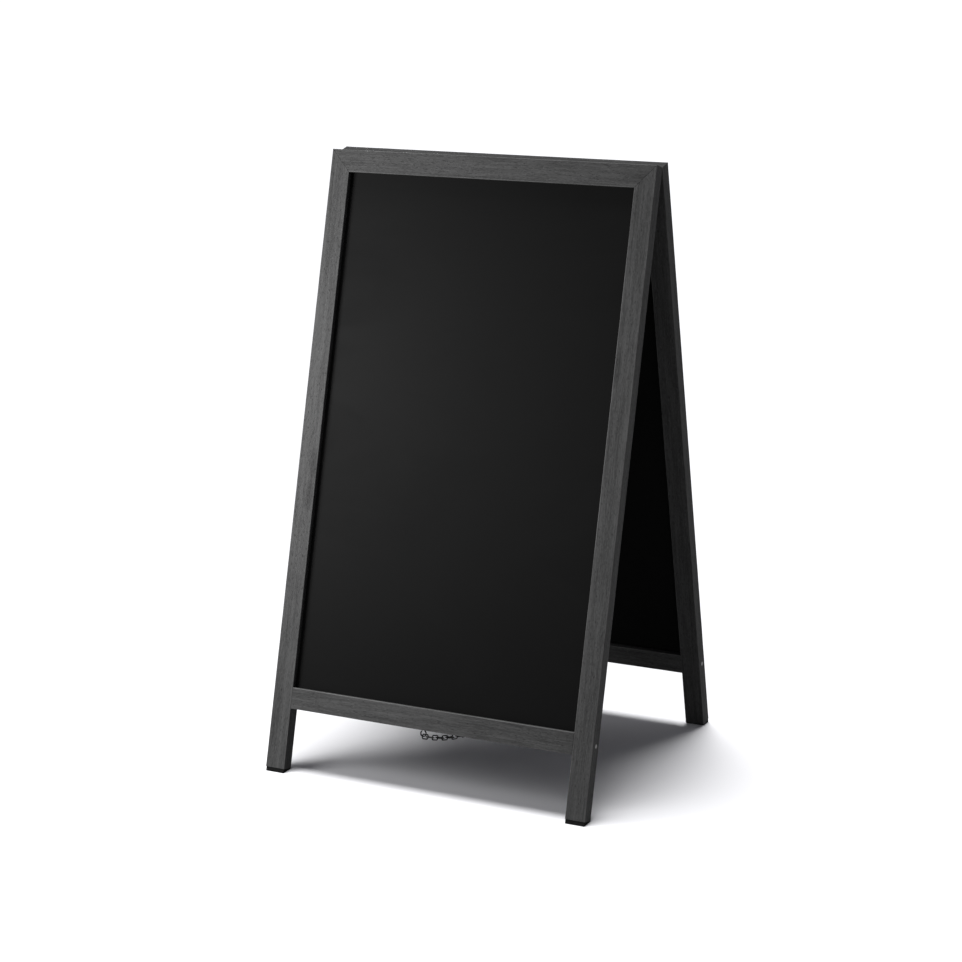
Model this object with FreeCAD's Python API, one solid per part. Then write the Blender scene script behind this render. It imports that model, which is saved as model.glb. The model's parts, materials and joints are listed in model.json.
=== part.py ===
import FreeCAD, Part
import math
import os
from FreeCAD import Placement, Rotation, Vector

# A folding A-frame chalkboard that stands on the pavement. Two like leaves, each a painted wooden
# frame round a chalkboard, are hinged at their inner top edges and held apart by a chain.
# +X is across the board, -Y is its front, +Z is up. The origin is on the floor, under the middle.
#
# A leaf is drawn upright, hanging from the hinge line, and then tilted. Its places are given as
# "across" (along X), "outward" (from the hinge plane to its outer face) and "down" (from the hinge line).

# Driving dimensions, in millimetres and degrees
board_width = 670.0
leaf_length = 1200.0
frame_thickness = 28.0
half_angle = 14.2
closed_gap = 0.4

# Frame members
stile_width = 40.0
top_rail_width = 43.0
bottom_rail_width = 41.0
bottom_rail_start = 1040.0

# Chalkboard and the groove that holds it
board_thickness = 5.0
groove_depth = 8.0
groove_play = 0.1
board_edge_play = 0.5

# Mitre dowels
dowel_radius = 4.0
dowel_length = 32.0
dowel_glue_room = 1.0

# Wood screws: shank radius, head radius, length
rail_screw = (2.0, 4.0, 70.0)
hinge_screw = (1.5, 3.0, 16.0)
head_rim = 0.4
tip_per_shank = 2.0
recess_width = 0.9
recess_reach = 1.8
recess_depth = 1.1

# Rubber feet and the screws that hold them
foot_thinnest = 1.4
foot_inset = 0.8
foot_screw_shank = 1.5
foot_screw_head = 3.0
foot_screw_head_height = 1.6
foot_screw_length = 22.0
foot_screw_well = 3.4
foot_screw_sunk = 1.0

# Hinges
hinge_length = 50.0
hinge_plate_height = 24.0
hinge_plate_thickness = 1.5
hinge_setback = 130.0
knuckle_count = 5
front_knuckles = (0, 2, 4)
rear_knuckles = (1, 3)
knuckle_radius = 3.2
knuckle_end_play = 0.15
knuckle_room = 0.3
pin_radius = 1.3
pin_running_play = 0.06
pin_head_radius = 2.3
pin_head_length = 0.9
pin_head_room = 0.5
hinge_screw_spacing = 17.0
hinge_screw_drops = (17.0, 11.0, 17.0)

# Screw eyes
eye_offset = 15.0
eye_outward = 12.0
eye_ring_radius = 5.6
eye_wire_radius = 1.25
eye_shank_radius = 1.5
eye_shank_length = 18.0
eye_stand_off = 0.6

# Chain: links along the sagging curve, counted from each eye
link_wire_radius = 1.2
link_width = 11.0
link_pitch = 19.6
link_play = 0.3
chain_sag = 56.0
front_upper_links = 5
front_lower_links = 10
rear_upper_links = 3
rear_lower_links = 11

# Places worked out from the driving dimensions
half_width = board_width / 2
inner_half_width = half_width - stile_width
inner_face = closed_gap / 2
outer_face = inner_face + frame_thickness
middle_layer = inner_face + frame_thickness / 2
bottom_rail_end = bottom_rail_start + bottom_rail_width
bottom_rail_middle = bottom_rail_start + bottom_rail_width / 2
wood_end = leaf_length - foot_thinnest
tilt_sine = math.sin(math.radians(half_angle))
tilt_cosine = math.cos(math.radians(half_angle))
hinge_height = leaf_length * tilt_cosine
hinge_centre = half_width - hinge_setback
knuckle_span = hinge_length / knuckle_count
eye_centre_down = bottom_rail_end + eye_stand_off + eye_wire_radius + eye_ring_radius
eye_pull_down = eye_centre_down + eye_ring_radius

ORIGIN = Vector(0, 0, 0)
ACROSS = Vector(1, 0, 0)
OUTWARD = Vector(0, -1, 0)
UP = Vector(0, 0, 1)
THROUGH = 1.0


# Drawing helpers, all in the upright leaf

def at(across, outward, down):
    return Vector(across, -outward, -down)


def block(across, outward, down):
    """A block between two limits in each direction."""
    low_across, high_across = sorted(across)
    low_outward, high_outward = outward
    low_down, high_down = down
    size = (high_across - low_across, high_outward - low_outward, high_down - low_down)
    return Part.makeBox(*size, at(low_across, high_outward, high_down))


def slab(outline, outward):
    """A flat board cut to an outline of (across, down) corners."""
    near, far = outward
    corners = [at(across, near, down) for across, down in outline]
    face = Part.Face(Part.makePolygon(corners + corners[:1]))
    return face.extrude(OUTWARD * (far - near))


def rod(radius, start, end):
    run = end - start
    return Part.makeCylinder(radius, run.Length, start, run)


def turned(profile):
    """A solid of revolution about Z, from (radius, height) points that start and end on the axis."""
    points = [Vector(radius, 0, height) for radius, height in profile]
    face = Part.Face(Part.makePolygon(points + points[:1]))
    return face.revolve(ORIGIN, UP, 360)


def aimed(shape, point, direction):
    """Moves a shape drawn along +Z so that it starts at a point and runs in a direction."""
    placed = shape.copy()
    placed.Placement = Placement(point, Rotation(UP, direction))
    return placed


def cross_recess():
    """The cross that a driver fits into, sunk in from the face of a screw head."""
    arms = []
    for half_x, half_y in ((recess_reach, recess_width / 2), (recess_width / 2, recess_reach)):
        arms.append(Part.makeBox(2 * half_x, 2 * half_y, recess_depth, Vector(-half_x, -half_y, 0)))
    return arms[0].fuse(arms[1])


def countersunk_blank(sizes):
    """The outside of a countersunk wood screw, with its flat head at the start."""
    shank, head, length = sizes
    cone_end = head_rim + head - shank
    tip_start = length - tip_per_shank * shank
    return turned([(0, 0), (head, 0), (head, head_rim), (shank, cone_end), (shank, tip_start), (0, length)])


def finished_screws(blanks):
    """Screws with a driver's cross sunk into each head, as one group."""
    recess = cross_recess()
    screws = []
    for blank in blanks:
        cross = recess.copy()
        cross.Placement = blank.Placement
        screws.append(blank.cut(cross))
    return Part.Compound(screws)


# The leaf's own pieces

def mitre_dowel(side):
    """The middle of a mitre's dowel, and the direction that it runs in, square to the mitre."""
    middle = at(side * (half_width - stile_width / 2), middle_layer, top_rail_width / 2)
    run = Vector(side * top_rail_width, 0, -stile_width).normalize()
    return middle, run


def dowel_between(side, length):
    middle, run = mitre_dowel(side)
    return rod(dowel_radius, middle - run * (length / 2), middle + run * (length / 2))


def rail_screw_blank(side):
    return aimed(countersunk_blank(rail_screw), at(side * half_width, middle_layer, bottom_rail_middle),
                 ACROSS * -side)


def groove_layer():
    half_groove = board_thickness / 2 + groove_play
    return (middle_layer - half_groove, middle_layer + half_groove)


def tenon_layer():
    return (middle_layer - board_thickness / 2, middle_layer + board_thickness / 2)


def foot_screw_blank(side):
    """A pan head screw that runs up into the end of the leg."""
    head = [(foot_screw_head, 0), (foot_screw_head, foot_screw_head_height)]
    shank = [(foot_screw_shank, foot_screw_head_height), (foot_screw_shank, foot_screw_length)]
    profile = [(0, 0)] + head + shank + [(0, foot_screw_length)]
    start = at(side * (half_width - stile_width / 2), middle_layer, foot_screw_start())
    return aimed(turned(profile), start, UP)


def floor_down(outward):
    """How far down the leaf the floor is, at a distance out from the hinge plane."""
    return (hinge_height + outward * tilt_sine) / tilt_cosine


def foot_screw_start():
    """The face of the screw's head, sunk above the lowest edge of its well."""
    near_edge = middle_layer - foot_screw_head
    return floor_down(near_edge) - foot_screw_sunk


def stile(side):
    """An upright of the frame: mitred at the top, grooved for the board, and drilled."""
    outer = side * half_width
    inner = side * inner_half_width
    groove_bottom = inner + side * groove_depth
    wood = slab([(outer, 0), (inner, top_rail_width), (inner, wood_end), (outer, wood_end)],
                (inner_face, outer_face))
    groove = block((inner - side * THROUGH, groove_bottom), groove_layer(), (0, bottom_rail_end))
    cutters = [groove, dowel_between(side, dowel_length + 2 * dowel_glue_room)]
    cutters += [rail_screw_blank(side), foot_screw_blank(side)]
    return wood.cut(cutters)


def top_rail():
    """The head of the frame, mitred at both ends, with room for the hinges on its inner face."""
    wood = slab([(-half_width, 0), (half_width, 0), (inner_half_width, top_rail_width),
                 (-inner_half_width, top_rail_width)], (inner_face, outer_face))
    groove_start = top_rail_width - groove_depth
    cutters = [block((-half_width, half_width), groove_layer(), (groove_start, top_rail_width + THROUGH))]
    for side in (-1, 1):
        cutters.append(dowel_between(side, dowel_length + 2 * dowel_glue_room))
        cutters.append(plate_block(side))
        cutters.append(barrel_notch(side))
        cutters += hinge_screw_blanks(side)
    return wood.cut(cutters)


def bottom_rail():
    """The foot of the frame, with a stub tenon at each end that fills the stile's groove."""
    wood = block((-inner_half_width, inner_half_width), (inner_face, outer_face),
                 (bottom_rail_start, bottom_rail_end))
    groove_bottom = bottom_rail_start + groove_depth
    tenon_reach = inner_half_width + groove_depth - board_edge_play
    tenon = block((-tenon_reach, tenon_reach), tenon_layer(), (groove_bottom, bottom_rail_end))
    groove = block((-half_width, half_width), groove_layer(), (bottom_rail_start - THROUGH, groove_bottom))
    cutters = [groove, eye_shank(), rail_screw_blank(-1), rail_screw_blank(1)]
    return wood.fuse(tenon).cut(cutters)


def chalkboard():
    reach = groove_depth - board_edge_play
    half_board = inner_half_width + reach
    top_edge = top_rail_width - reach
    bottom_edge = bottom_rail_start + reach
    return block((-half_board, half_board), tenon_layer(), (top_edge, bottom_edge))


def foot(side):
    """A wedge of rubber that levels the square-cut end of a leg, with a well for its screw."""
    near = inner_face + foot_inset
    far = outer_face - foot_inset
    outer = side * (half_width - foot_inset)
    inner = side * (inner_half_width + foot_inset)
    section = [at(inner, near, wood_end), at(inner, far, wood_end),
               at(inner, far, floor_down(far)), at(inner, near, floor_down(near))]
    rubber = Part.Face(Part.makePolygon(section + section[:1])).extrude(Vector(outer - inner, 0, 0))
    seat = foot_screw_start() - foot_screw_head_height
    middle = (outer + inner) / 2
    mouth = floor_down(outer_face)
    well = rod(foot_screw_well, at(middle, middle_layer, mouth), at(middle, middle_layer, seat))
    return rubber.cut([well, foot_screw_blank(side)])


# Hinges: two plates with knuckles on one pin, which lies on the hinge line

def knuckle_limits(side, number):
    start = side * hinge_centre - hinge_length / 2 + number * knuckle_span
    return start, start + knuckle_span


def barrel_part(radius, limits):
    low, high = limits
    return rod(radius, Vector(low, 0, 0), Vector(high, 0, 0))


def plate_block(side):
    """The room that a hinge plate takes, which is also its mortise in the top rail."""
    centre = side * hinge_centre
    return block((centre - hinge_length / 2, centre + hinge_length / 2),
                 (inner_face, inner_face + hinge_plate_thickness), (0, hinge_plate_height))


def barrel_notch(side):
    """The hollow along the rail's top edge that the barrel and the pin's heads lie in."""
    reach = hinge_length / 2 + pin_head_length + pin_head_room
    centre = side * hinge_centre
    return barrel_part(knuckle_radius + knuckle_room, (centre - reach, centre + reach))


def hinge_screw_blanks(side):
    blanks = []
    for place, drop in zip((-1, 0, 1), hinge_screw_drops):
        start = at(side * hinge_centre + place * hinge_screw_spacing, inner_face, drop)
        blanks.append(aimed(countersunk_blank(hinge_screw), start, OUTWARD))
    return blanks


def hinge_plate(side, own_knuckles, bore_radius):
    """A plate with its own knuckles, cut away where the other plate's knuckles turn."""
    own = []
    gaps = []
    for number in range(knuckle_count):
        low, high = knuckle_limits(side, number)
        if number in own_knuckles:
            own.append(barrel_part(knuckle_radius, (low + knuckle_end_play, high - knuckle_end_play)))
        else:
            gaps.append(barrel_part(knuckle_radius + knuckle_room, (low, high)))
    centre = side * hinge_centre
    bore = barrel_part(bore_radius, (centre - hinge_length, centre + hinge_length))
    blank = plate_block(side).cut(gaps)
    return blank.fuse(own).cut([bore] + hinge_screw_blanks(side)).removeSplitter()


def hinge_pin(side):
    """The pin, headed at both ends, fast in the front plate's knuckles."""
    centre = side * hinge_centre
    half_length = hinge_length / 2
    shank = barrel_part(pin_radius, (centre - half_length, centre + half_length))
    heads = []
    for end in (-1, 1):
        start = centre + end * half_length
        heads.append(barrel_part(pin_head_radius, sorted((start, start + end * pin_head_length))))
    return shank.fuse(heads).removeSplitter()


# Screw eye under the bottom rail

def eye_shank():
    top = bottom_rail_end - eye_shank_length
    ring_top = eye_centre_down - eye_ring_radius
    return rod(eye_shank_radius, at(-eye_offset, eye_outward, ring_top), at(-eye_offset, eye_outward, top))


def screw_eye():
    centre = at(-eye_offset, eye_outward, eye_centre_down)
    ring = Part.makeTorus(eye_ring_radius, eye_wire_radius, centre, OUTWARD)
    return ring.fuse(eye_shank()).removeSplitter()


# The chain, drawn where it hangs: a catenary between the wires of the two screw eyes

eye_span = 2 * (eye_pull_down * tilt_sine + eye_outward * tilt_cosine)
eye_height = hinge_height - eye_pull_down * tilt_cosine + eye_outward * tilt_sine
catenary = eye_span ** 2 / (8 * chain_sag) + chain_sag / 6
half_chain = catenary * math.sinh(eye_span / 2 / catenary)
lowest_height = eye_height - catenary * (math.cosh(eye_span / 2 / catenary) - 1)


def chain_point(run):
    """A point on the hanging curve, at a distance along it from the middle, and its direction there."""
    reach = math.hypot(catenary, run)
    point = Vector(eye_offset * run / half_chain, catenary * math.asinh(run / catenary),
                   lowest_height + reach - catenary)
    direction = Vector(eye_offset / half_chain, catenary / reach, run / reach).normalize()
    return point, direction


def chain_link():
    """One link, lying along X in the plane of X and Y."""
    bow_radius = link_width / 2 - link_wire_radius
    half_straight = (link_pitch + link_play) / 2 + link_wire_radius - bow_radius
    bow = Part.makeTorus(bow_radius, link_wire_radius, ORIGIN, UP, 0, 360, 180)
    bow.rotate(ORIGIN, UP, -90)
    bow.translate(Vector(half_straight, 0, 0))
    other_bow = bow.copy()
    other_bow.rotate(ORIGIN, UP, 180)
    sides = [rod(link_wire_radius, Vector(-half_straight, edge * bow_radius, 0),
                 Vector(half_straight, edge * bow_radius, 0)) for edge in (-1, 1)]
    return bow.fuse([other_bow] + sides).removeSplitter()


def chain_run(end, first, count, link):
    """Links numbered from one eye. Odd links stand upright, and even ones lie flat."""
    links = []
    for number in range(first, first + count):
        from_eye = (number - 0.5) * link_pitch - eye_wire_radius
        point, direction = chain_point(end * (half_chain - from_eye))
        side_axis = UP.cross(direction).normalize()
        wide_axis = direction.cross(side_axis) if number % 2 else side_axis
        turn = Rotation(direction, wide_axis, direction.cross(wide_axis), "XYZ")
        placed = link.copy()
        placed.Placement = Placement(point, turn)
        links.append(placed)
    return Part.Compound(links)


# Putting it together

def stand(shape, leaf):
    """Turns the rear leaf about, tilts either leaf to its open angle and lifts it to the hinge line."""
    placed = shape.copy()
    if leaf == "rear":
        placed.rotate(ORIGIN, UP, 180)
    placed.rotate(ORIGIN, ACROSS, half_angle if leaf == "rear" else -half_angle)
    placed.translate(Vector(0, 0, hinge_height))
    return placed


def leaf_pieces(leaf):
    """The pieces of one leaf, named by the side that they are on when seen from the front."""
    names = {-1: "left", 1: "right"}
    turned_about = -1 if leaf == "rear" else 1
    knuckles = rear_knuckles if leaf == "rear" else front_knuckles
    bore = pin_radius + pin_running_play if leaf == "rear" else pin_radius
    pieces = {}
    for side in (-1, 1):
        name = names[side * turned_about]
        pieces[f"{name}_stile"] = stile(side)
        pieces[f"{name}_foot"] = foot(side)
        pieces[f"{name}_hinge_plate"] = hinge_plate(side, knuckles, bore)
    pieces["top_rail"] = top_rail()
    pieces["bottom_rail"] = bottom_rail()
    pieces["chalkboard"] = chalkboard()
    pieces["screw_eye"] = screw_eye()
    both = (-1, 1)
    pieces["mitre_dowels"] = Part.Compound([dowel_between(side, dowel_length) for side in both])
    pieces["rail_screws"] = finished_screws([rail_screw_blank(side) for side in both])
    pieces["hinge_screws"] = finished_screws(hinge_screw_blanks(-1) + hinge_screw_blanks(1))
    pieces["foot_screws"] = finished_screws([foot_screw_blank(side) for side in both])
    return {f"{leaf}_{name}": stand(piece, leaf) for name, piece in pieces.items()}


def chain_pieces():
    link = chain_link()
    return {
        "front_upper_chain": chain_run(-1, 1, front_upper_links, link),
        "front_lower_chain": chain_run(-1, 1 + front_upper_links, front_lower_links, link),
        "rear_upper_chain": chain_run(1, 1, rear_upper_links, link),
        "rear_lower_chain": chain_run(1, 1 + rear_upper_links, rear_lower_links, link),
    }


def build():
    pieces = {}
    for leaf in ("front", "rear"):
        pieces.update(leaf_pieces(leaf))
    pieces["left_hinge_pin"] = stand(hinge_pin(-1), "front")
    pieces["right_hinge_pin"] = stand(hinge_pin(1), "front")
    pieces.update(chain_pieces())
    return pieces


os.makedirs("parts", exist_ok=True)
for node, shape in build().items():
    shape.exportStep(f"parts/{node}.step")
    print(node, len(shape.Solids), round(shape.Volume), shape.isValid())
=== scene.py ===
import json
import math

import bmesh
import bpy
import numpy as np
from mathutils import Matrix, Vector, noise


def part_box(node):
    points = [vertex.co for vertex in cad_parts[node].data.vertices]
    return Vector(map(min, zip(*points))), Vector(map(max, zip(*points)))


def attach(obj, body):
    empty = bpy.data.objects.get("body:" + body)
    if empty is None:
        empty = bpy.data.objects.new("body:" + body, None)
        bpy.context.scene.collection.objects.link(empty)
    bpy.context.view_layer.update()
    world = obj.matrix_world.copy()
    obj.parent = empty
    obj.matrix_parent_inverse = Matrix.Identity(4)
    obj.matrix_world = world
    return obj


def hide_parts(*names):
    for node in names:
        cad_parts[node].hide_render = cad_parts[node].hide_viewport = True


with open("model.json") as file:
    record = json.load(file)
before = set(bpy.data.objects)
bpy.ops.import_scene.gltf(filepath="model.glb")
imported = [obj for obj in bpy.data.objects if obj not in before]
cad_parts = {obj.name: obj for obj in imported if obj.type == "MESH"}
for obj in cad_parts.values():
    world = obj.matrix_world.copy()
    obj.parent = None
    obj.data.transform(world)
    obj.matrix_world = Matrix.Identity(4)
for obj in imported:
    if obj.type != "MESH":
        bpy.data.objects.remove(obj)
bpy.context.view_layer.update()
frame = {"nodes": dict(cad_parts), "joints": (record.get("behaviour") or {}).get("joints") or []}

# A folding A-frame chalkboard. Two like leaves, each a charcoal-stained wooden frame round a black
# chalkboard, are hinged at the top, stand on rubber feet and are held apart by a chain of welded links.
# +X is across the board, -Y is its front and +Z is up. Lengths are in metres.
#
# Leaf pieces are shaped upright, hanging from the hinge line: X across, -Y outward, -Z down the leaf.

MM = 0.001
LEAVES = ("front", "rear")
JOINTS = {joint["name"]: joint for joint in frame["joints"]}
HINGE_LINE = Vector(JOINTS["leaf_fold"]["pos_m"])
HALF_ANGLE = math.radians(JOINTS["leaf_fold"]["range_deg"][1]) / 2

# How the joiner finishes the wood
ARRIS_ROUND = 1.3 * MM
JOINT_ROUND = 0.5 * MM
ARRIS_WANDER = 0.22 * MM
ARRIS_BAND = 1.6 * MM
SAW_STEP = 12 * MM
SHORTEST_ARRIS = 18 * MM
NEAR_A_FACE = 0.05 * MM
ALONG_THE_GRAIN = 0.999

# Screws: radii and heights as shares of the head's radius
SHANK_RADIUS = 0.5
CORE_RADIUS = 0.74 * SHANK_RADIUS
CREST_RADIUS = 0.99 * SHANK_RADIUS
RIM_HEIGHT = 0.1
RIM_EASE = 0.3 * RIM_HEIGHT
POINT_START = 1.6
NECK_START = 0.7
NECK_RADIUS = 0.55 * CORE_RADIUS
DOME_HEIGHT = 0.53
CROWN_RADIUS = 0.66
CROWN_DROP = 0.62 * DOME_HEIGHT
RECESS_REACH = 0.52
RECESS_DEPTH = 0.34
RECESS_HALF_ARM = 0.13
RECESS_TAPER = 0.55  # its floor's width as a share of its mouth's
THREAD_PITCH = 0.85 * SHANK_RADIUS

# Where a screw's thread starts and how long it is, as shares of the screw's length
THREAD_START = 0.34
THREAD_LENGTH = 0.52

# A thread's ridge, as a share of its depth, which sinks its foot into the core
RIDGE_SHARE = 0.7

# Hinge pins, as shares of the head's radius
PIN_SHANK = 0.56
PIN_RIM = 0.4

# Screw eyes: turns in degrees, and the thread's start and length as shares of the shank's length
EYE_WIRE = 1.25 * MM
EYE_CORE = 0.9 * EYE_WIRE
EYE_CREST = 1.18 * EYE_WIRE
EYE_FIRST_TURN = 58
EYE_TURN_STEP = 14
EYE_POINTS = 22
NECK_TOP = 4 * EYE_WIRE
NECK_BOTTOM = 1.6 * EYE_WIRE
EYE_THREAD_PITCH = 1.2 * MM
EYE_THREAD_START = 0.04
EYE_THREAD_LENGTH = 0.74

# Rubber
RUBBER_ROUND = 0.5 * MM
SHORTEST_RUBBER_EDGE = 5 * MM
RUBBER_CORNER = math.radians(40)

# Chain
LINK_PLAY = 0.3 * MM
BOW_SHARE = 0.499

# The limits that the hanging curve's size is looked for in, and how often they are halved
CATENARY_LIMITS = (0.1, 5.0)
HALVINGS = 60

# How many steps a round shape is drawn in
ROUNDING_STEPS = 3
DOME_STEPS = 5
BOW_STEPS = 7
TURNED_STEPS = 36
PIN_STEPS = 40


def leaf_tilt(leaf):
    return HALF_ANGLE if leaf == "rear" else -HALF_ANGLE


def leaf_place(leaf):
    """Takes an upright leaf to where it stands, open."""
    turn = Matrix.Rotation(math.pi if leaf == "rear" else 0, 4, "Z")
    return Matrix.Translation(HINGE_LINE) @ Matrix.Rotation(leaf_tilt(leaf), 4, "X") @ turn


# Shaping helpers

def cad_form(node, leaf=None):
    """A joined-up copy of a CAD node, upright if it belongs to a leaf."""
    form = bmesh.new()
    form.from_mesh(frame["nodes"][node].data)
    bmesh.ops.remove_doubles(form, verts=form.verts, dist=0.002 * MM)
    if leaf:
        bmesh.ops.transform(form, matrix=leaf_place(leaf).inverted(), verts=form.verts)
    return form


def form_box(form):
    points = np.array([vert.co for vert in form.verts])
    return Vector(points.min(0)), Vector(points.max(0))


def solids(form):
    """The separate solids of a form, each as an array of its points, from left to right."""
    waiting = set(form.verts)
    found = []
    while waiting:
        edge_of_search = [waiting.pop()]
        members = []
        while edge_of_search:
            vert = edge_of_search.pop()
            members.append(vert.co[:])
            for edge in vert.link_edges:
                other = edge.other_vert(vert)
                if other in waiting:
                    waiting.remove(other)
                    edge_of_search.append(other)
        found.append(np.array(members))
    return sorted(found, key=lambda points: points[:, 0].mean())


def piece_from(form, name):
    mesh = bpy.data.meshes.new(name)
    form.to_mesh(mesh)
    form.free()
    piece = bpy.data.objects.new(name, mesh)
    bpy.context.scene.collection.objects.link(piece)
    return piece


def settle(piece):
    """Makes a piece's modifiers part of its mesh."""
    graph = bpy.context.evaluated_depsgraph_get()
    made = bpy.data.meshes.new_from_object(piece.evaluated_get(graph), depsgraph=graph)
    old = piece.data
    piece.modifiers.clear()
    piece.data = made
    bpy.data.meshes.remove(old)
    made.name = piece.name
    return piece


def soften(piece, sharp_angle=math.radians(35)):
    """Shades a piece smooth over its rounded edges and flat over its flat faces."""
    mesh = piece.data
    mesh.polygons.foreach_set("use_smooth", [True] * len(mesh.polygons))
    mesh.set_sharp_from_angle(angle=sharp_angle)
    weighted = piece.modifiers.new("soften", "WEIGHTED_NORMAL")
    weighted.keep_sharp = True
    weighted.weight = 100
    return settle(piece)


def round_edges(piece, widths):
    """Rounds each edge to its own width; widths has one for each edge, and nought leaves it."""
    widest = max(widths)
    weights = piece.data.attributes.new("bevel_weight_edge", "FLOAT", "EDGE")
    weights.data.foreach_set("value", [width / widest for width in widths])
    bevel = piece.modifiers.new("round", "BEVEL")
    bevel.limit_method = "WEIGHT"
    bevel.offset_type = "OFFSET"
    bevel.width = widest
    bevel.segments = ROUNDING_STEPS
    bevel.use_clamp_overlap = False
    return settle(piece)


def flatten_faces(form):
    """Joins a CAD copy's triangles into whole flat faces."""
    bmesh.ops.dissolve_limit(form, angle_limit=math.radians(0.6), verts=form.verts, edges=form.edges)


def lathe(outline, steps=TURNED_STEPS):
    """A closed form turned about Z, from (radius, height) points that start and end on the axis."""
    form = bmesh.new()
    rings = []
    for radius, height in outline[1:-1]:
        ring = []
        for step in range(steps):
            turn = 2 * math.pi * step / steps
            ring.append(form.verts.new((radius * math.cos(turn), radius * math.sin(turn), height)))
        rings.append(ring)
    first = form.verts.new((0, 0, outline[0][1]))
    last = form.verts.new((0, 0, outline[-1][1]))
    for step in range(steps):
        after = (step + 1) % steps
        form.faces.new((first, rings[0][after], rings[0][step]))
        form.faces.new((last, rings[-1][step], rings[-1][after]))
        for lower, upper in zip(rings, rings[1:]):
            form.faces.new((lower[step], lower[after], upper[after], upper[step]))
    bmesh.ops.recalc_face_normals(form, faces=form.faces)
    return form


def fit(piece, body, material, node):
    """Paints a finished piece, stands it for its CAD node and fixes it to its body."""
    piece.data.materials.clear()
    piece.data.materials.append(material)
    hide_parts(node)
    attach(piece, body)
    return piece


# Node trees

class Wire:
    """A node's output. Arithmetic on it adds Math nodes."""

    def __init__(self, tree, socket):
        self.tree = tree
        self.socket = socket

    def maths(self, operation, *values):
        inputs = dict(enumerate(values))
        return self.tree.node("ShaderNodeMath", {"operation": operation}, inputs)

    def __add__(self, other):
        return self.maths("ADD", self, other)

    def __radd__(self, other):
        return self.maths("ADD", other, self)

    def __sub__(self, other):
        return self.maths("SUBTRACT", self, other)

    def __rsub__(self, other):
        return self.maths("SUBTRACT", other, self)

    def __mul__(self, other):
        return self.maths("MULTIPLY", self, other)

    def __rmul__(self, other):
        return self.maths("MULTIPLY", other, self)

    def __abs__(self):
        return self.maths("ABSOLUTE", self)

    def larger(self, other):
        return self.maths("MAXIMUM", self, other)

    def sine(self):
        return self.maths("SINE", self)


class Tree:
    """A node tree that is built one call at a time."""

    def __init__(self, tree):
        self.tree = tree

    def node(self, kind, settings=None, inputs=None, output=0):
        """Adds a node: its settings first, then a value, a wire or a list of wires for each socket."""
        made = self.tree.nodes.new(kind)
        for name, value in (settings or {}).items():
            setattr(made, name, value)
        for key, value in (inputs or {}).items():
            if isinstance(value, (Wire, list)):
                for wire in value if isinstance(value, list) else [value]:
                    self.tree.links.new(wire.socket, made.inputs[key])
            else:
                made.inputs[key].default_value = value
        return Wire(self, made.outputs[output]) if len(made.outputs) else None

    def outputs(self, wire):
        return [Wire(self, socket) for socket in wire.socket.node.outputs]

    def mix(self, share, first, second):
        """A colour part of the way from one to another, from the Mix node's own colour sockets."""
        return self.node("ShaderNodeMix", {"data_type": "RGBA"}, {0: share, 6: first, 7: second}, 2)

    def grain(self, vector, scale, detail=2.0, roughness=0.5, distortion=0.0):
        """Noise from 0 to 1."""
        inputs = {"Vector": vector, "Scale": scale, "Detail": detail, "Roughness": roughness,
                  "Distortion": distortion}
        return self.node("ShaderNodeTexNoise", {}, inputs)

    def between(self, value, low, high):
        """Eases from 0 to 1 as a value goes from low to high, and holds beyond them."""
        inputs = {"Value": value, "From Min": low, "From Max": high}
        return self.node("ShaderNodeMapRange", {"interpolation_type": "SMOOTHSTEP"}, inputs)

    def bump(self, height, strength, distance):
        inputs = {"Height": height, "Strength": strength, "Distance": distance}
        return self.node("ShaderNodeBump", {}, inputs)

    def object_place(self):
        return self.node("ShaderNodeTexCoord", output="Object")

    def camera_ray(self):
        """One where the camera looks straight at a surface, and nought where only light meets it."""
        return self.node("ShaderNodeLightPath", output="Is Camera Ray")

    def scaled(self, vector, factors):
        return self.node("ShaderNodeVectorMath", {"operation": "MULTIPLY"}, {0: vector, 1: factors})


def grey(shade):
    return (shade, shade, shade, 1)


def new_material(name):
    material = bpy.data.materials.new(name)
    material.use_nodes = True
    material.node_tree.nodes.clear()
    return material, Tree(material.node_tree)


def surface(tree, **inputs):
    """The finish itself, and the tree's output."""
    names = {key.replace("_", " ").title().replace("Ior", "IOR"): value for key, value in inputs.items()}
    shader = tree.node("ShaderNodeBsdfPrincipled", {}, names)
    tree.node("ShaderNodeOutputMaterial", {}, {"Surface": shader})


# Finishes

STAIN_DARK = grey(0.012)
STAIN_MID = grey(0.037)
STAIN_LIGHT = grey(0.078)
STAIN_PORE = grey(0.006)
STAIN_WORN = grey(0.125)

# How far the grain wanders sideways, and how far in from an arris the stain is rubbed
FIBRE_WANDER = 11 * MM
RUBBED_THIN = 1.9 * MM
RUBBED_THROUGH = 0.4 * MM
RUBBED_RAGGED = 2.2 * MM


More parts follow.
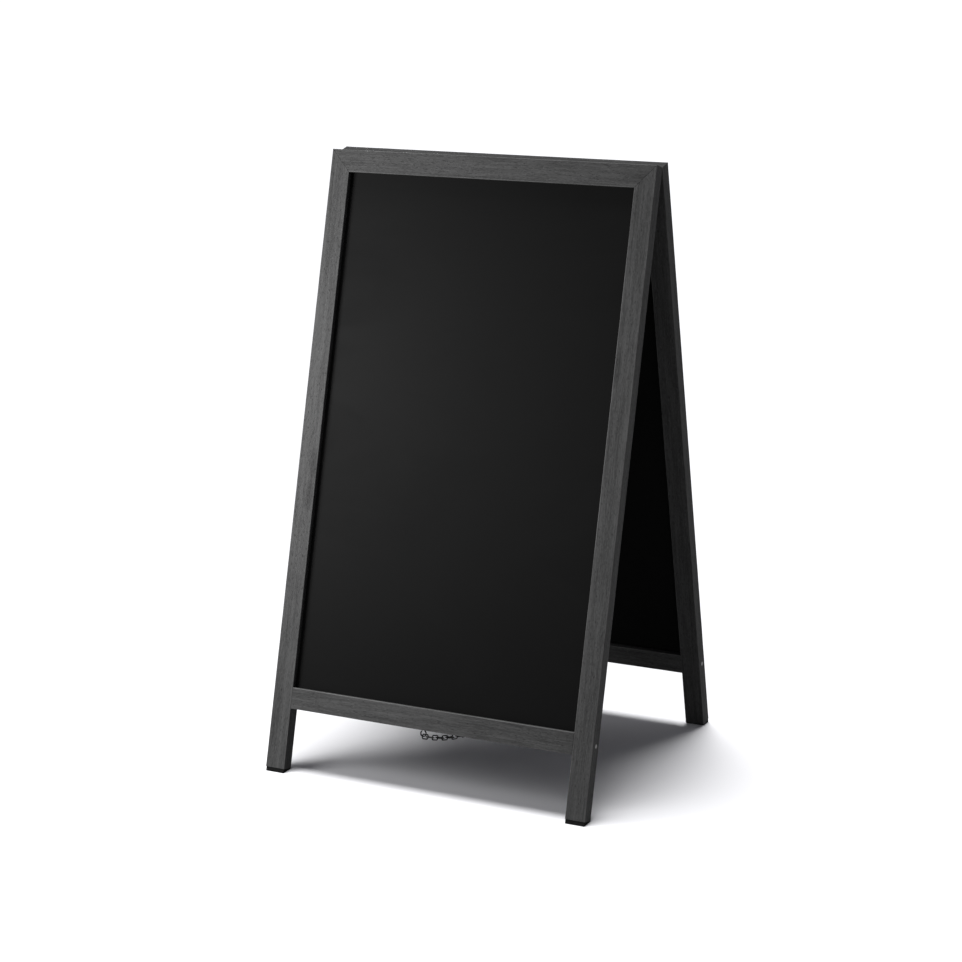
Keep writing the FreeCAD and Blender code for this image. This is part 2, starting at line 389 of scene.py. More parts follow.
def charcoal_wood(name, low, high, leaf, along_x, seed):
    """Charcoal stain on streaky softwood, rubbed lighter along the arrises of one member."""
    material, tree = new_material(name)
    middle = leaf_place(leaf) @ ((low + high) / 2)
    half = (high - low) / 2
    inputs = {"Vector": tree.object_place(), "Location": middle, "Rotation": (leaf_tilt(leaf), 0, 0)}
    local = tree.node("ShaderNodeMapping", {"vector_type": "TEXTURE"}, inputs)
    x, y, z = tree.outputs(tree.node("ShaderNodeSeparateXYZ", {}, {0: local}))
    along, side = (x, z) if along_x else (z, x)
    half_side = half.z if along_x else half.x

    drift = tree.node("ShaderNodeCombineXYZ", {}, {0: side * 9.0, 1: y * 9.0, 2: along * 3.2 + seed})
    wander = (tree.grain(drift, 1.0, 2.0) - 0.5) * FIBRE_WANDER
    line = tree.node("ShaderNodeCombineXYZ", {}, {0: side + wander, 1: y, 2: along})
    own_place = (seed, seed * 0.7, seed * 1.9)

    def fibres(across, lengthwise, detail):
        """Noise drawn out along the grain: how many to a metre across it and along it."""
        stretched = tree.node("ShaderNodeVectorMath", {"operation": "MULTIPLY_ADD"},
                              {0: line, 1: (across, across * 0.8, lengthwise), 2: own_place})
        return tree.grain(stretched, 1.0, detail, 0.55)

    bands = fibres(95.0, 3.4, 3.0)
    streaks = fibres(330.0, 13.0, 3.0)
    threads = fibres(1300.0, 40.0, 2.0)
    flecks = fibres(620.0, 120.0, 2.0)
    dashes = fibres(840.0, 130.0, 1.0)
    pores = tree.between(dashes, 0.60, 0.72)
    sparks = tree.between(fibres(640.0, 210.0, 1.0), 0.62, 0.74)
    blotch_place = tree.node("ShaderNodeVectorMath", {"operation": "ADD"}, {0: local, 1: (seed, seed, seed)})
    blotches = tree.grain(blotch_place, 14.0, 3.0)

    knot_place = tree.node("ShaderNodeCombineXYZ", {}, {0: side * 17.0 + seed, 2: along * 4.3 + seed * 2.7})
    from_knot = tree.node("ShaderNodeTexVoronoi", {"feature": "F1"}, {"Vector": knot_place, "Scale": 1.0})
    knots = tree.between(from_knot, 0.20, 0.07)
    rings = (from_knot * 150.0 + threads * 5.0).sine() * 0.5 + 0.5

    tone = bands * 0.26 + streaks * 0.28 + threads * 0.22 + flecks * 0.24
    tone = tree.between(tone, 0.33, 0.67)
    stain = tree.mix(tone, STAIN_DARK, STAIN_LIGHT)
    stain = tree.mix(0.34, stain, STAIN_MID)
    stain = tree.mix(sparks * 0.30, stain, STAIN_WORN)
    stain = tree.mix(pores * 0.60, stain, STAIN_PORE)
    stain = tree.mix(knots * (0.30 + rings * 0.30), stain, STAIN_PORE)
    stain = tree.mix((blotches - 0.42) * 0.34, stain, STAIN_PORE)

    from_side = half_side - abs(side)
    from_face = half.y - abs(y)
    nearness = from_side.larger(from_face)
    ragged = nearness + (streaks - 0.5) * RUBBED_RAGGED + (blotches - 0.5) * RUBBED_RAGGED
    rubbed = tree.between(ragged, RUBBED_THIN, RUBBED_THROUGH)
    stain = tree.mix(rubbed * 0.50, stain, STAIN_WORN)

    roughness = 0.54 + threads * 0.20 + pores * 0.12 - rubbed * 0.08
    relief = streaks * 0.4 + threads * 0.5 + flecks * 0.4 - pores * 0.7 - knots * 0.2
    normal = tree.bump(relief, 0.42, 0.6 * MM)
    surface(tree, base_color=stain, roughness=roughness, normal=normal, specular_ior_level=0.20)
    return material


def blackboard_paint(leaf):
    """Matt black writing paint, faintly hazed where chalk has been wiped away."""
    material, tree = new_material(f"{leaf}_blackboard_paint")
    low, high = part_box(f"{leaf}_chalkboard")
    inputs = {"Vector": tree.object_place(), "Location": (low + high) / 2,
              "Rotation": (leaf_tilt(leaf), 0, 0)}
    local = tree.node("ShaderNodeMapping", {"vector_type": "TEXTURE"}, inputs)
    wiped = tree.grain(tree.scaled(local, (2.4, 2.4, 5.6)), 1.0, 4.0, 0.6, 0.8)
    smear = tree.grain(tree.scaled(local, (60.0, 60.0, 11.0)), 1.0, 3.0)
    tooth = tree.grain(local, 2600.0, 2.0)
    haze = tree.between(wiped, 0.40, 0.75) * (0.55 + smear * 0.6)
    paint = tree.mix(haze * 0.5, grey(0.0032), grey(0.0062))
    roughness = 0.52 + haze * 0.12 + tooth * 0.06
    normal = tree.bump(tooth, 0.12, 0.1 * MM)
    surface(tree, base_color=paint, roughness=roughness, normal=normal, specular_ior_level=0.055)
    return material


def plated_steel(name, dark, light, shine, metal=1.0):
    """Plated or blackened steel, spotted and lightly scratched."""
    material, tree = new_material(name)
    place = tree.object_place()
    spots = tree.grain(place, 420.0, 3.0)
    scratches = tree.grain(tree.scaled(place, (180.0, 2600.0, 2600.0)), 1.0, 2.0)
    shade = tree.mix(tree.between(spots, 0.30, 0.72), grey(dark), grey(light))
    roughness = shine + spots * 0.16 + scratches * 0.12
    normal = tree.bump(spots * 0.5 + scratches * 0.5, 0.16, 0.1 * MM)
    surface(tree, base_color=shade, roughness=roughness, normal=normal, metallic=metal)
    return material


def foot_rubber():
    """Moulded black rubber with a fine, dusty grain."""
    material, tree = new_material("moulded_rubber")
    place = tree.object_place()
    pebble = tree.grain(place, 1500.0, 2.0)
    dust = tree.grain(place, 120.0, 3.0)
    shade = tree.mix(tree.between(dust, 0.45, 0.8) * 0.7, grey(0.0035), grey(0.012))
    normal = tree.bump(pebble, 0.30, 0.2 * MM)
    roughness = 0.68 + dust * 0.22
    surface(tree, base_color=shade, roughness=roughness, normal=normal, specular_ior_level=0.14)
    return material


def beech_dowel():
    """Pale beech with short flecks."""
    material, tree = new_material("beech_dowel")
    place = tree.object_place()
    flecks = tree.grain(tree.scaled(place, (900.0, 900.0, 300.0)), 1.0, 2.0)
    tone = tree.between(flecks, 0.35, 0.7)
    shade = tree.mix(tone, (0.52, 0.34, 0.19, 1), (0.66, 0.47, 0.29, 1))
    normal = tree.bump(flecks, 0.3, 0.2 * MM)
    surface(tree, base_color=shade, roughness=0.55 + tone * 0.15, normal=normal)
    return material


# The wooden members

def arris_widths(mesh, low, high, along_x):
    """How far to round each edge: most on long outer corners, less where members meet."""
    widths = []
    grain_axis, side_axis = (0, 2) if along_x else (2, 0)

    def at_face(place, axis):
        return min(abs(place[axis] - low[axis]), abs(place[axis] - high[axis])) < NEAR_A_FACE

    for edge in mesh.edges:
        start, end = (mesh.vertices[index].co for index in edge.vertices)
        run = end - start
        middle = (start + end) / 2
        length = run.length
        lengthwise = length > SHORTEST_ARRIS and abs(run[grain_axis]) > ALONG_THE_GRAIN * length
        if lengthwise and at_face(middle, 1) and at_face(middle, side_axis):
            widths.append(ARRIS_ROUND)
        elif length > SHORTEST_ARRIS and not lengthwise and at_face(start, 1) and at_face(end, 1):
            widths.append(JOINT_ROUND)
        else:
            widths.append(0.0)
    return widths


def wander_arrises(form, low, high, along_x, seed):
    """Sands the long corners a little unevenly, always inward."""
    side_axis, grain_axis = (2, 0) if along_x else (0, 2)
    middle = (low + high) / 2
    for vert in form.verts:
        from_side = min(vert.co[side_axis] - low[side_axis], high[side_axis] - vert.co[side_axis])
        from_face = min(vert.co.y - low.y, high.y - vert.co.y)
        from_end = min(vert.co[grain_axis] - low[grain_axis], high[grain_axis] - vert.co[grain_axis])
        if max(from_side, from_face) > ARRIS_BAND or from_end < 3 * ARRIS_BAND:
            continue
        inward = Vector((0, 0, 0))
        inward[side_axis] = math.copysign(1, middle[side_axis] - vert.co[side_axis])
        inward.y = math.copysign(1, middle.y - vert.co.y)
        own_stretch = Vector((seed + inward[side_axis] * 7, inward.y * 5, vert.co[grain_axis] * 34))
        vert.co += inward * ARRIS_WANDER * (0.5 + 0.5 * noise.noise(own_stretch))


def wooden_member(node, leaf, along_x, seed):
    """One member of a leaf's frame, cut and drilled as the CAD has it, with hand-eased arrises."""
    form = cad_form(node, leaf)
    low, high = form_box(form)
    flatten_faces(form)
    piece = piece_from(form, f"{node}_wood")
    piece = round_edges(piece, arris_widths(piece.data, low, high, along_x))
    form = bmesh.new()
    form.from_mesh(piece.data)
    bmesh.ops.remove_doubles(form, verts=form.verts, dist=0.01 * MM)
    bmesh.ops.dissolve_degenerate(form, edges=form.edges, dist=0.002 * MM)
    axis = Vector((1, 0, 0)) if along_x else Vector((0, 0, 1))
    start, stop = low.dot(axis), high.dot(axis)
    cuts = int((stop - start) / SAW_STEP)
    for cut in range(1, cuts):
        point = axis * (start + (stop - start) * cut / cuts)
        everything = form.verts[:] + form.edges[:] + form.faces[:]
        bmesh.ops.bisect_plane(form, geom=everything, plane_co=point, plane_no=axis, dist=0.01 * MM)
    wander_arrises(form, low, high, along_x, seed)
    bmesh.ops.transform(form, matrix=leaf_place(leaf), verts=form.verts)
    form.to_mesh(piece.data)
    form.free()
    soften(piece)
    material = charcoal_wood(f"charcoal_{node}", low, high, leaf, along_x, seed)
    return fit(piece, f"{leaf}_leaf", material, node)


# Rubber feet

def rubber_foot(node, leaf, material):
    """A levelling wedge with moulded, rounded edges and a well for its screw."""
    form = cad_form(node, leaf)
    flatten_faces(form)
    piece = piece_from(form, f"{node}_rubber")
    form = bmesh.new()
    form.from_mesh(piece.data)
    widths = []
    for edge in form.edges:
        outside = edge.is_convex and edge.calc_length() > SHORTEST_RUBBER_EDGE
        widths.append(RUBBER_ROUND if outside and edge.calc_face_angle() > RUBBER_CORNER else 0.0)
    form.free()
    piece = round_edges(piece, widths)
    piece.data.transform(leaf_place(leaf))
    soften(piece)
    return fit(piece, f"{leaf}_leaf", material, node)


# Fasteners: shaped once along +Z from the face of the head, then set at each place

def tree_group(name, sockets):
    """An empty geometry tree, its inputs by name, and each input's identifier."""
    group = bpy.data.node_groups.new(name, "GeometryNodeTree")
    identifiers = {}
    for label, kind in sockets:
        socket = group.interface.new_socket(name=label, in_out="INPUT", socket_type=kind)
        identifiers[label] = socket.identifier
    group.interface.new_socket(name="Geometry", in_out="OUTPUT", socket_type="NodeSocketGeometry")
    tree = Tree(group)
    start = tree.node("NodeGroupInput")
    given = {label: wire for (label, _), wire in zip(sockets, tree.outputs(start))}
    return group, tree, given, identifiers


def finish_group(tree, shape, given):
    """Ends a tree with a plain mesh in its own finish."""
    whole = tree.node("GeometryNodeRealizeInstances", {}, {"Geometry": shape})
    smooth = tree.node("GeometryNodeSetShadeSmooth", {}, {"Geometry": whole})
    painted = tree.node("GeometryNodeSetMaterial", {}, {"Geometry": smooth, "Material": given["Finish"]})
    tree.node("NodeGroupOutput", {}, {"Geometry": painted})


def set_out(tree, given, shape):
    """One copy of a shape at each point, turned by the point's own turn."""
    turn = tree.node("GeometryNodeInputNamedAttribute", {"data_type": "FLOAT_VECTOR"}, {"Name": "turn"})
    return tree.node("GeometryNodeInstanceOnPoints", {},
                     {"Points": given["Points"], "Instance": shape, "Rotation": turn})


def threaded_group():
    """A fastener at each point, with a raised thread wound round its core."""
    sockets = (("Points", "NodeSocketGeometry"), ("Fastener", "NodeSocketObject"),
               ("Core Radius", "NodeSocketFloat"), ("Crest Radius", "NodeSocketFloat"),
               ("Thread Start", "NodeSocketFloat"), ("Thread Length", "NodeSocketFloat"),
               ("Turns", "NodeSocketFloat"), ("Finish", "NodeSocketMaterial"))
    group, tree, given, identifiers = tree_group("threaded_fasteners", sockets)
    blank = tree.node("GeometryNodeObjectInfo", {"transform_space": "ORIGINAL"},
                      {"Object": given["Fastener"]}, "Geometry")
    ridge = (given["Crest Radius"] - given["Core Radius"]) * RIDGE_SHARE
    middle = (given["Crest Radius"] + given["Core Radius"]) * 0.5
    helix = tree.node("GeometryNodeCurveSpiral", {},
                      {"Resolution": 18, "Rotations": given["Turns"], "Start Radius": middle,
                       "End Radius": middle, "Height": given["Thread Length"]})
    wire_section = tree.node("GeometryNodeCurvePrimitiveCircle", {}, {"Resolution": 4, "Radius": ridge})
    thread = tree.node("GeometryNodeCurveToMesh", {},
                       {"Curve": helix, "Profile Curve": wire_section, "Fill Caps": True})
    lift = tree.node("ShaderNodeCombineXYZ", {}, {2: given["Thread Start"]})
    thread = tree.node("GeometryNodeTransform", {}, {"Geometry": thread, "Translation": lift})
    both = tree.node("GeometryNodeJoinGeometry", {}, {"Geometry": [blank, thread]})
    finish_group(tree, set_out(tree, given, both), given)
    return group, identifiers


def linked_group():
    """A smooth oblong chain link at each point."""
    sockets = (("Points", "NodeSocketGeometry"), ("Link Length", "NodeSocketFloat"),
               ("Link Width", "NodeSocketFloat"), ("Wire Radius", "NodeSocketFloat"),
               ("Finish", "NodeSocketMaterial"))
    group, tree, given, identifiers = tree_group("chain_links", sockets)
    long_side = given["Link Length"] - given["Wire Radius"] * 2.0
    short_side = given["Link Width"] - given["Wire Radius"] * 2.0
    oblong = tree.node("GeometryNodeCurvePrimitiveQuadrilateral", {},
                       {"Width": long_side, "Height": short_side})
    rounded = tree.node("GeometryNodeFilletCurve", {"mode": "POLY"},
                        {"Curve": oblong, "Count": BOW_STEPS, "Radius": short_side * BOW_SHARE})
    wire_section = tree.node("GeometryNodeCurvePrimitiveCircle", {},
                             {"Resolution": 10, "Radius": given["Wire Radius"]})
    link = tree.node("GeometryNodeCurveToMesh", {}, {"Curve": rounded, "Profile Curve": wire_section})
    finish_group(tree, set_out(tree, given, link), given)
    return group, identifiers


def grown(name, places, group, identifiers, values):
    """Runs a node tree over a set of places, and keeps the result as a plain mesh."""
    mesh = bpy.data.meshes.new(name)
    mesh.from_pydata([place.translation for place in places], [], [])
    turns = mesh.attributes.new("turn", "FLOAT_VECTOR", "POINT")
    angles = [angle for place in places for angle in place.to_euler()]
    turns.data.foreach_set("vector", angles)
    piece = bpy.data.objects.new(name, mesh)
    bpy.context.scene.collection.objects.link(piece)
    modifier = piece.modifiers.new("grow", "NODES")
    modifier.node_group = group
    for label, value in values.items():
        modifier[identifiers[label]] = value
    settle(piece)
    form = bmesh.new()
    form.from_mesh(piece.data)
    bmesh.ops.remove_doubles(form, verts=form.verts, dist=0.001 * MM)
    bmesh.ops.recalc_face_normals(form, faces=form.faces)
    form.to_mesh(piece.data)
    form.free()
    return piece


def drive_recess(head):
    """The tapered cross that a driver fits into."""
    form = bmesh.new()
    for turn in (0, math.pi / 2):
        arm = bmesh.ops.create_cube(form, size=2)["verts"]
        for vert in arm:
            width = head * (RECESS_TAPER if vert.co.z > 0 else 1)
            vert.co *= Vector((width * RECESS_REACH, width * RECESS_HALF_ARM, head * RECESS_DEPTH))
        bmesh.ops.rotate(form, verts=arm, matrix=Matrix.Rotation(turn, 3, "Z"))
    return piece_from(form, "recess")


def cut_recess(blank, head):
    """Sinks a driver's cross into a fastener's head."""
    cross = drive_recess(head)
    cut = blank.modifiers.new("recess", "BOOLEAN")
    cut.operation = "DIFFERENCE"
    cut.solver = "EXACT"
    cut.use_self = True
    cut.object = cross
    settle(blank)
    discard(cross)
    return blank


def discard(piece):
    mesh = piece.data
    bpy.data.objects.remove(piece)
    bpy.data.meshes.remove(mesh)


def screw_blank(head_outline, head, length):
    """A screw with a given outline to its head, and a core that ends in a drawn point."""
    core = [(CORE_RADIUS * head, length - POINT_START * head),
            (NECK_RADIUS * head, length - NECK_START * head), (0, length)]
    return cut_recess(piece_from(lathe(head_outline + core), "blank"), head)


def countersunk_blank(head, length):
    """A flat-headed wood screw with a fine rim and a cone under its head."""
    cone_end = RIM_HEIGHT + 1 - SHANK_RADIUS
    shares = [(0, 0), (1 - RIM_EASE, 0), (1, RIM_EASE), (1, RIM_HEIGHT), (SHANK_RADIUS, cone_end),
              (CORE_RADIUS, 2)]
    return screw_blank([(radius * head, height * head) for radius, height in shares], head, length)


def pan_blank(head, length):
    """A screw with a domed head."""
    shares = [(0, 0)]
    for step in range(DOME_STEPS + 1):
        turn = math.pi / 2 * step / DOME_STEPS
        shares.append((CROWN_RADIUS + (1 - CROWN_RADIUS) * math.sin(turn), CROWN_DROP * (1 - math.cos(turn))))
    shares += [(1, DOME_HEIGHT), (CORE_RADIUS, DOME_HEIGHT)]
    return screw_blank([(radius * head, height * head) for radius, height in shares], head, length)


def aimed(point, direction):
    """Takes a fastener shaped along +Z to its place."""
    turn = Vector((0, 0, 1)).rotation_difference(direction)
    return Matrix.Translation(point) @ turn.to_matrix().to_4x4()


def into_the_frame(place):
    return Vector((-math.copysign(1, place.x), 0, 0))


def outward(place):
    return Vector((0, -1, 0))


def upward(place):
    return Vector((0, 0, 1))


def screw_set(node, leaf, blank_maker, direction_of, group, identifiers, material):
    """A node's screws, each where its CAD solid is. The direction is the way that a screw is driven."""
    places = []
    for points in solids(cad_form(node, leaf)):
        low, high = Vector(points.min(0)), Vector(points.max(0))
        middle = (low + high) / 2
        direction = direction_of(middle)
        span = high - low
        length = abs(span.dot(direction))
        head = max(side for side in (span - direction * span.dot(direction))) / 2
        places.append(leaf_place(leaf) @ aimed(middle - direction * length / 2, direction))
    blank = blank_maker(head, length)
    values = {"Fastener": blank, "Core Radius": head * CORE_RADIUS, "Crest Radius": head * CREST_RADIUS,
              "Thread Start": length * THREAD_START, "Thread Length": length * THREAD_LENGTH,
              "Turns": length * THREAD_LENGTH / (head * THREAD_PITCH), "Finish": material}
    piece = grown(f"{node}_set", places, group, identifiers, values)
    discard(blank)
    soften(piece, math.radians(40))
    return fit(piece, f"{leaf}_leaf", material, node)


def hinge_pin(side, material):
    """A hinge pin with a spun, domed head at each end."""
    node = f"{side}_hinge_pin"
    low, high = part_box(node)
    length = high.x - low.x
    head = (high.y - low.y) / 2
    shares = [(0, 0), (0.55, 0), (0.86, 0.08), (1, 0.2), (1, PIN_RIM), (PIN_SHANK, PIN_RIM)]
    end = [(radius * head, height * head) for radius, height in shares]
    outline = end + [(radius, length - height) for radius, height in reversed(end)]
    piece = piece_from(lathe(outline, PIN_STEPS), f"{node}_turned")
    centre = (low + high) / 2
    piece.data.transform(aimed(Vector((low.x, centre.y, centre.z)), Vector((1, 0, 0))))
    soften(piece)
    return fit(piece, "front_leaf", material, node)


# Screw eyes

def screw_eye(leaf, group, identifiers, material):
    """Wire bent round into an eye below a threaded shank."""
    node = f"{leaf}_screw_eye"
    form = cad_form(node, leaf)
    low, high = form_box(form)
    form.free()
    middle = (low + high) / 2
    outer = (high.x - low.x) / 2
    ring = outer - EYE_WIRE
    centre = Vector((middle.x, middle.y, low.z + outer))
    curve = bpy.data.curves.new(f"{node}_wire", "CURVE")
    curve.dimensions = "3D"
    curve.bevel_depth = EYE_WIRE
    curve.bevel_resolution = 4
    curve.resolution_u = 6
    curve.use_fill_caps = True
    turns = [math.radians(EYE_FIRST_TURN - EYE_TURN_STEP * step) for step in range(EYE_POINTS)]
    shank = (high.z - centre.z, ring + NECK_TOP, ring + NECK_BOTTOM)
    route = [Vector((0, 0, height)) for height in shank]
    route += [Vector((ring * math.cos(turn), 0, ring * math.sin(turn))) for turn in turns]
    spline = curve.splines.new("NURBS")
    spline.points.add(len(route) - 1)
    for point, place in zip(spline.points, route):
        point.co = (*(centre + place), 1)
    spline.use_endpoint_u = True
    spline.order_u = 4
    bent = bpy.data.objects.new("bent_wire", curve)
    bpy.context.scene.collection.objects.link(bent)
    graph = bpy.context.evaluated_depsgraph_get()
    mesh = bpy.data.meshes.new_from_object(bent.evaluated_get(graph), depsgraph=graph)
    bpy.data.objects.remove(bent)
    bpy.data.curves.remove(curve)
    blank = bpy.data.objects.new("eye_blank", mesh)
    bpy.context.scene.collection.objects.link(blank)
    down_shank = aimed(Vector((centre.x, centre.y, high.z)), Vector((0, 0, -1)))
    mesh.transform(down_shank.inverted())
    shank_length = shank[0] - shank[-1]
    thread_length = shank_length * EYE_THREAD_LENGTH
    values = {"Fastener": blank, "Core Radius": EYE_CORE, "Crest Radius": EYE_CREST,
              "Thread Start": shank_length * EYE_THREAD_START, "Thread Length": thread_length,
              "Turns": thread_length / EYE_THREAD_PITCH, "Finish": material}
    place = leaf_place(leaf) @ down_shank
    piece = grown(f"{node}_bent", [place], group, identifiers, values)
    discard(blank)
    soften(piece, math.radians(50))
    return fit(piece, f"{leaf}_leaf", material, node)


# The chain hangs in a catenary between the eyes

class HangingChain:
    """The catenary that the chain hangs in, found from the places of its joints by halving."""

    def __init__(self):
        self.eye = Vector(JOINTS["rear_chain_eye"]["pos_m"])
        pivot = Vector(JOINTS["rear_chain_link"]["pos_m"])
        drop = self.eye.z - pivot.z
        low, high = CATENARY_LIMITS
        for _ in range(HALVINGS):
            size = (low + high) / 2
            found = size * (math.cosh(self.eye.y / size) - math.cosh(pivot.y / size))
            low, high = (size, high) if found > drop else (low, size)
        self.size = size
        self.half = size * math.sinh(self.eye.y / size)
        self.lowest = self.eye.z - size * (math.cosh(self.eye.y / size) - 1)
        eye_low, eye_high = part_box("rear_screw_eye")
        self.lean = (eye_low.x + eye_high.x) / 2

    def run_at(self, place):
        """How far a joint is from the middle, along the chain."""
        return self.size * math.sinh(place[1] / self.size)

    def at(self, run):
        """A point at a distance along the chain from its middle, and the chain's direction there."""
        reach = math.hypot(self.size, run)
        point = Vector((self.lean * run / self.half, self.size * math.asinh(run / self.size),
                        self.lowest + reach - self.size))
        direction = Vector((self.lean / self.half, self.size / reach, run / reach)).normalized()
        return point, direction

    def link_place(self, run, upright):
        point, direction = self.at(run)
        level = Vector((0, 0, 1)).cross(direction).normalized()
        wide = direction.cross(level) if upright else level
        turn = Matrix((direction, wide, direction.cross(wide))).transposed()
        return Matrix.Translation(point) @ turn.to_4x4()


def link_sizes(node):
    """A CAD link's length, width and wire radius, from its own long, wide and thin directions."""
    points = solids(cad_form(node))[0]
    centred = points - (points.max(0) + points.min(0)) / 2
    _, axes = np.linalg.eigh(centred.T @ centred)
    thin, wide, length = [np.ptp(centred @ axes[:, number]) for number in range(3)]
    return length, wide, thin / 2


def chain(group, identifiers, material):
    """Four runs of links. The lower runs share out the slack at the middle, so the chain looks whole."""
    hanging = HangingChain()
    counts = {}
    for end in LEAVES:
        for run in ("upper", "lower"):
            counts[end, run] = len(solids(cad_form(f"{end}_{run}_chain")))
    length, width, wire = link_sizes("front_upper_chain")
    pivots = {end: hanging.half - abs(hanging.run_at(JOINTS[f"{end}_chain_link"]["pos_m"])) for end in LEAVES}
    lower_count = counts["front", "lower"] + counts["rear", "lower"]
    spare = 2 * hanging.half - sum(pivots.values()) - 2 * wire - LINK_PLAY
    lower_pitch = spare / lower_count
    upper_pitch = length - 4 * wire - LINK_PLAY
    for end, sign in (("front", -1), ("rear", 1)):
        upper, lower = counts[end, "upper"], counts[end, "lower"]
        first_upper = pivots[end] + wire + LINK_PLAY / 2 - (upper - 0.5) * upper_pitch
        first_lower = pivots[end] + wire + LINK_PLAY / 2 + 0.5 * lower_pitch
        runs = (("upper", 1, upper, first_upper, upper_pitch),
                ("lower", upper + 1, lower, first_lower, lower_pitch))
        for run, first_number, count, start, pitch in runs:
            places = []
            for step in range(count):
                from_eye = start + step * pitch
                upright = (first_number + step) % 2 == 1
                places.append(hanging.link_place(sign * (hanging.half - from_eye), upright))
            values = {"Link Length": pitch + LINK_PLAY + 4 * wire, "Link Width": width,
                      "Wire Radius": wire, "Finish": material}
            piece = grown(f"{end}_{run}_links", places, group, identifiers, values)
            body = f"{end}_chain_top" if run == "upper" else f"{end}_chain_end"
            fit(piece, body, material, f"{end}_{run}_chain")


# Carried-over CAD nodes

def repaint(node, material):
    """Gives a CAD node that stays in sight its finish."""
    kept = frame["nodes"][node]
    kept.data.materials.clear()
    kept.data.materials.append(material)


# Floor, light and camera

FLOOR_REACH = 60.0

# The floor gives back less light than it shows, so that the board's shaded sides stay dark
FLOOR_BOUNCE = grey(0.42)

# The camera, in millimetres for the lens and degrees for the angles
LENS = 89.48
SENSOR = 36.0
VIEW_AZIMUTH = 25.62
VIEW_ELEVATION = 13.42
VIEW_ROLL = 0.156
VIEW_DISTANCE = 4.65
VIEW_TARGET = Vector((-0.03, 0, 0.538))
FARTHEST_SEEN = 200.0


def towards(azimuth, elevation):
    """The way to a place seen from the board. Azimuth 0 is in front of it, and 90 to its right."""
    turn, lift = math.radians(azimuth), math.radians(elevation)
    return Vector((math.sin(turn) * math.cos(lift), -math.cos(turn) * math.cos(lift), math.sin(lift)))


def paper_floor():
    """A white floor. Returns the collection that keeps a light off it and on everything else."""
    form = bmesh.new()
    signs = ((-1, -1), (1, -1), (1, 1), (-1, 1))
    form.faces.new([form.verts.new((x * FLOOR_REACH, y * FLOOR_REACH, 0)) for x, y in signs])
    floor = piece_from(form, "floor")
    material, tree = new_material("white_paper")
    fall = tree.grain(tree.object_place(), 3.0, 2.0)
    paper = tree.mix(fall, (0.88, 0.88, 0.90, 1), (0.90, 0.90, 0.92, 1))
    shade = tree.mix(tree.camera_ray(), FLOOR_BOUNCE, paper)
    surface(tree, base_color=shade, roughness=0.95, specular_ior_level=0.1)
    floor.data.materials.append(material)
    beside_the_floor = bpy.data.collections.new("beside_the_floor")
    beside_the_floor.objects.link(floor)
    beside_the_floor.collection_objects[0].light_linking.link_state = "EXCLUDE"
    return beside_the_floor


def studio_air():
    """A white background, and a dim cool glow from all round."""
    world = bpy.data.worlds.new("studio")
    bpy.context.scene.world = world
    world.use_nodes = True
    world.node_tree.nodes.clear()
    tree = Tree(world.node_tree)
    ray = tree.camera_ray()
    seen = tree.node("ShaderNodeBackground", {}, {"Color": grey(1.0), "Strength": 1.6})
    glow = tree.node("ShaderNodeBackground", {}, {"Color": (0.93, 0.93, 1.0, 1), "Strength": 0.13})
    both = tree.node("ShaderNodeMixShader", {}, {0: ray, 1: glow, 2: seen})
    tree.node("ShaderNodeOutputWorld", {}, {"Surface": both})


def softbox(name, strength, angle, azimuth, elevation):
    """A broad light a long way off, as many degrees across as its angle."""
    light = bpy.data.lights.new(name, "SUN")
    light.energy = strength
    light.angle = math.radians(angle)
    box = bpy.data.objects.new(name, light)
    bpy.context.scene.collection.objects.link(box)
    box.rotation_mode = "QUATERNION"
    box.rotation_quaternion = towards(azimuth, elevation).to_track_quat("Z", "Y")


def side_panel(name, power, place, target, width, height, receivers=None):
    """A lit panel near the board, which fades with distance. It lights everything, or only its receivers."""
    light = bpy.data.lights.new(name, "AREA")
    light.shape = "RECTANGLE"
    light.size, light.size_y = width, height
    light.energy = power
    panel = bpy.data.objects.new(name, light)
    bpy.context.scene.collection.objects.link(panel)
    panel.location = place
    panel.rotation_mode = "QUATERNION"
    panel.rotation_quaternion = (Vector(place) - Vector(target)).to_track_quat("Z", "Y")
    panel.visible_camera = False
    if receivers:
        panel.light_linking.receiver_collection = receivers


def camera():
    data = bpy.data.cameras.new("camera")
    data.lens = LENS
    data.sensor_width = SENSOR
    data.clip_end = FARTHEST_SEEN
    view = bpy.data.objects.new("camera", data)
    bpy.context.scene.collection.objects.link(view)
    back = towards(VIEW_AZIMUTH, VIEW_ELEVATION)
    view.location = VIEW_TARGET + back * VIEW_DISTANCE
    view.rotation_mode = "QUATERNION"
    roll = Matrix.Rotation(math.radians(VIEW_ROLL), 4, "Z").to_quaternion()
    view.rotation_quaternion = (-back).to_track_quat("-Z", "Y") @ roll
    bpy.context.scene.camera = view


# Making the board

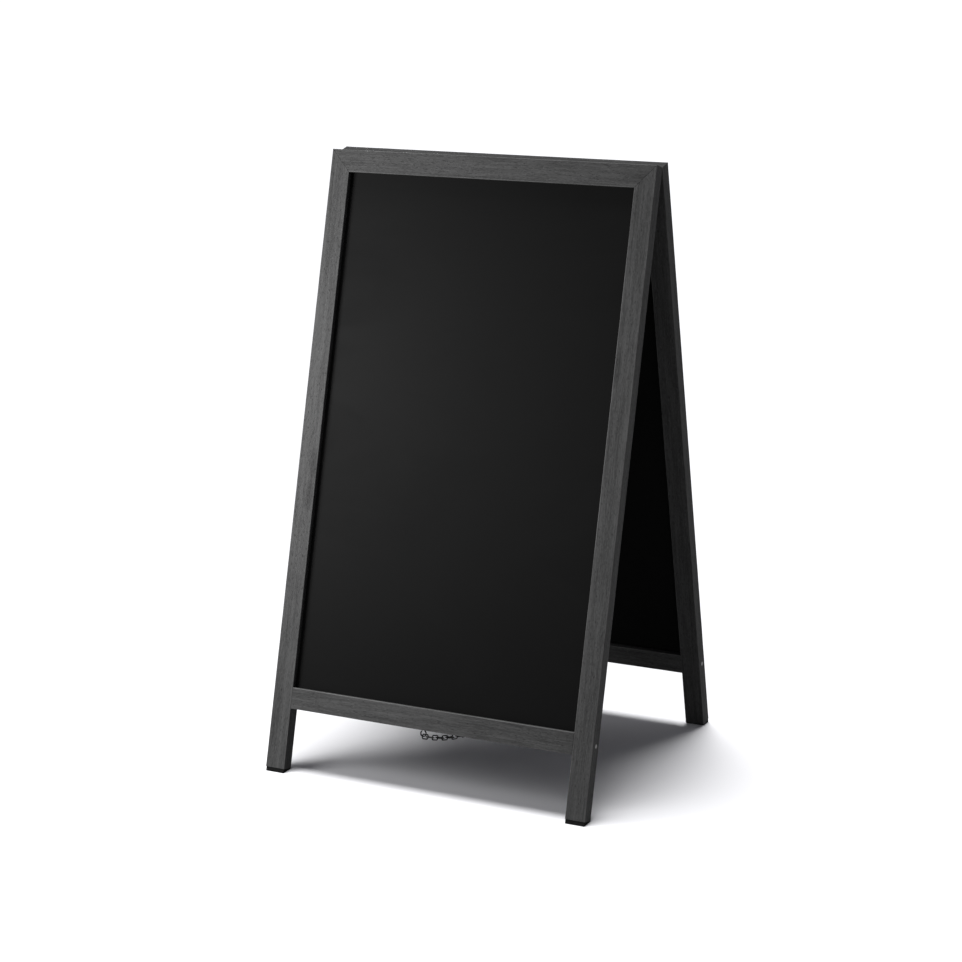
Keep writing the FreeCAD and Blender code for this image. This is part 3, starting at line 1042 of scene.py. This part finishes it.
threaded, threaded_ids = threaded_group()
linked, linked_ids = linked_group()
lacquer = plated_steel("black_lacquer", dark=0.030, light=0.060, shine=0.30, metal=0.0)
screw_plate = plated_steel("dark_zinc", dark=0.26, light=0.42, shine=0.24)
blackened = plated_steel("blackened_steel", dark=0.020, light=0.055, shine=0.34, metal=0.85)
rubber = foot_rubber()
beech = beech_dowel()

# Each member is cut from its own stretch of wood
MEMBER_SEEDS = {"left_stile": 3.1, "right_stile": 11.7, "top_rail": 23.9, "bottom_rail": 37.3}
LEAF_SEEDS = {"front": 0.0, "rear": 61.0}
SCREWS = {"rail_screws": (countersunk_blank, into_the_frame), "hinge_screws": (countersunk_blank, outward),
          "foot_screws": (pan_blank, upward)}

for leaf in LEAVES:
    for member, seed in MEMBER_SEEDS.items():
        wooden_member(f"{leaf}_{member}", leaf, member.endswith("rail"), seed + LEAF_SEEDS[leaf])
    for side in ("left", "right"):
        rubber_foot(f"{leaf}_{side}_foot", leaf, rubber)
        repaint(f"{leaf}_{side}_hinge_plate", lacquer)
    for screws, (blank_maker, direction_of) in SCREWS.items():
        screw_set(f"{leaf}_{screws}", leaf, blank_maker, direction_of, threaded, threaded_ids, screw_plate)
    screw_eye(leaf, threaded, threaded_ids, blackened)
    repaint(f"{leaf}_chalkboard", blackboard_paint(leaf))
    repaint(f"{leaf}_mitre_dowels", beech)
for side in ("left", "right"):
    hinge_pin(side, lacquer)
chain(linked, linked_ids, blackened)

beside_the_floor = paper_floor()
studio_air()
softbox("overhead", strength=3.6, angle=21, azimuth=-115, elevation=85.5)
side_panel("left_panel", power=9.0, place=(-1.0, -0.95, 0.95), target=(0, -0.15, 0.75), width=0.6, height=0.8)
side_panel("left_card", power=20.0, place=(-1.0, -1.0, 1.0), target=(0.05, -0.15, 0.80), width=0.6,
           height=0.8, receivers=beside_the_floor)
side_panel("back_panel", power=26.0, place=(-1.1, 1.15, 1.0), target=(0, 0.15, 0.7), width=0.8, height=1.0,
           receivers=beside_the_floor)
camera()
bpy.context.scene.view_settings.view_transform = "Standard"
